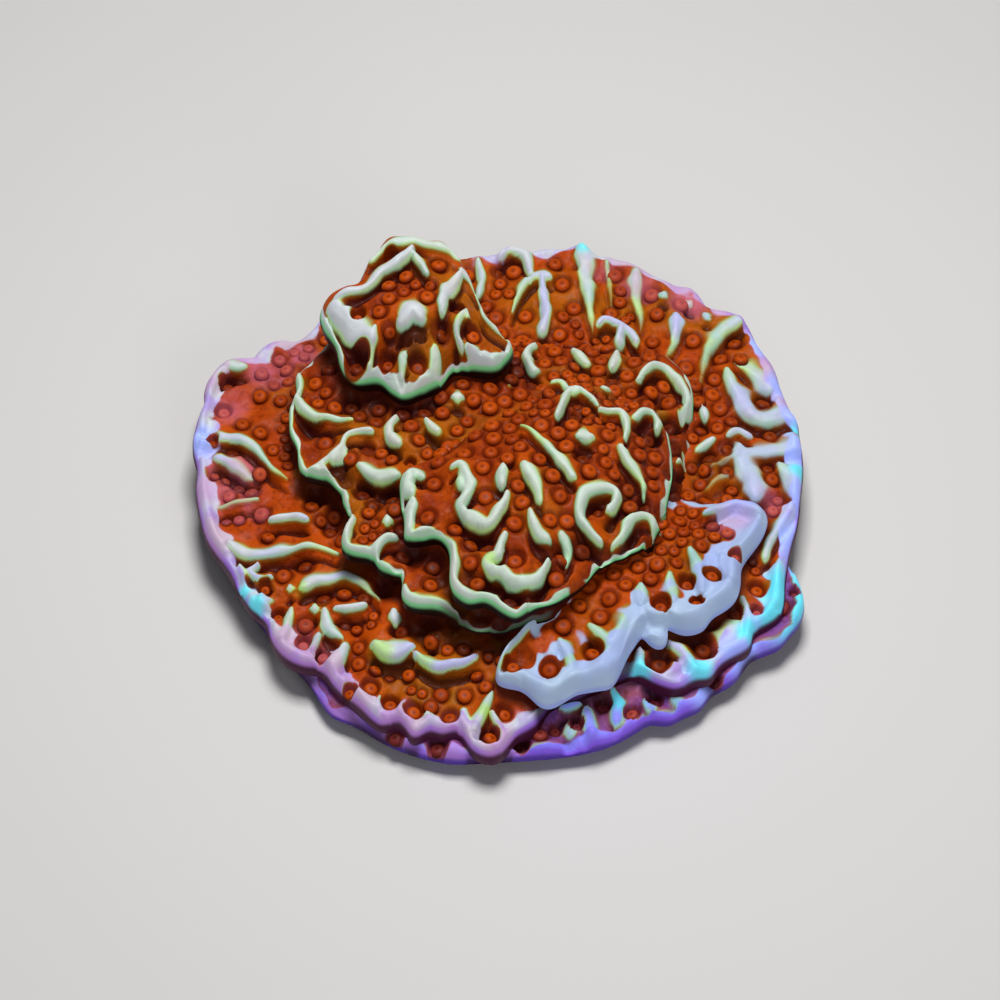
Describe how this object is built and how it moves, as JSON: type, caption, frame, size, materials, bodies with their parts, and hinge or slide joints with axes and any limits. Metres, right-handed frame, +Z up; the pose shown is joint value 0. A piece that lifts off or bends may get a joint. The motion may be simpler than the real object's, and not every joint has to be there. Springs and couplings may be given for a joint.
{
  "type": "montipora coral",
  "caption": "Plating coral colony with stacked ridged shelves, a domed crown and a raised knoll, cut off flat underneath so that it rests on the cut.",
  "frame": {"origin": "centre of the flat cut underneath, on the surface that the colony rests on", "axes": "+Z up out of the cut, +Y away from the picture's viewer, +X to the viewer's right"},
  "size_m": [0.0663, 0.0637, 0.024],
  "materials": {
    "violet_tissue": "thin moist tissue over a stony skeleton, saturated violet-blue at the rim, paler lilac on the ridges",
    "orange_tissue": "thin moist tissue over a stony skeleton, orange-brown with small domed polyps between smooth mint-white ridges",
    "lilac_tissue": "thin moist tissue over a stony skeleton, thick pale lilac-white rim with orange polyps sunk in it"
  },
  "bodies": {
    "root": {"base_plate": "violet_tissue", "main_plate": "orange_tissue", "front_shelf": "lilac_tissue", "middle_tier": "orange_tissue", "crown": "orange_tissue", "knoll": "orange_tissue"}
  },
  "joints": []
}
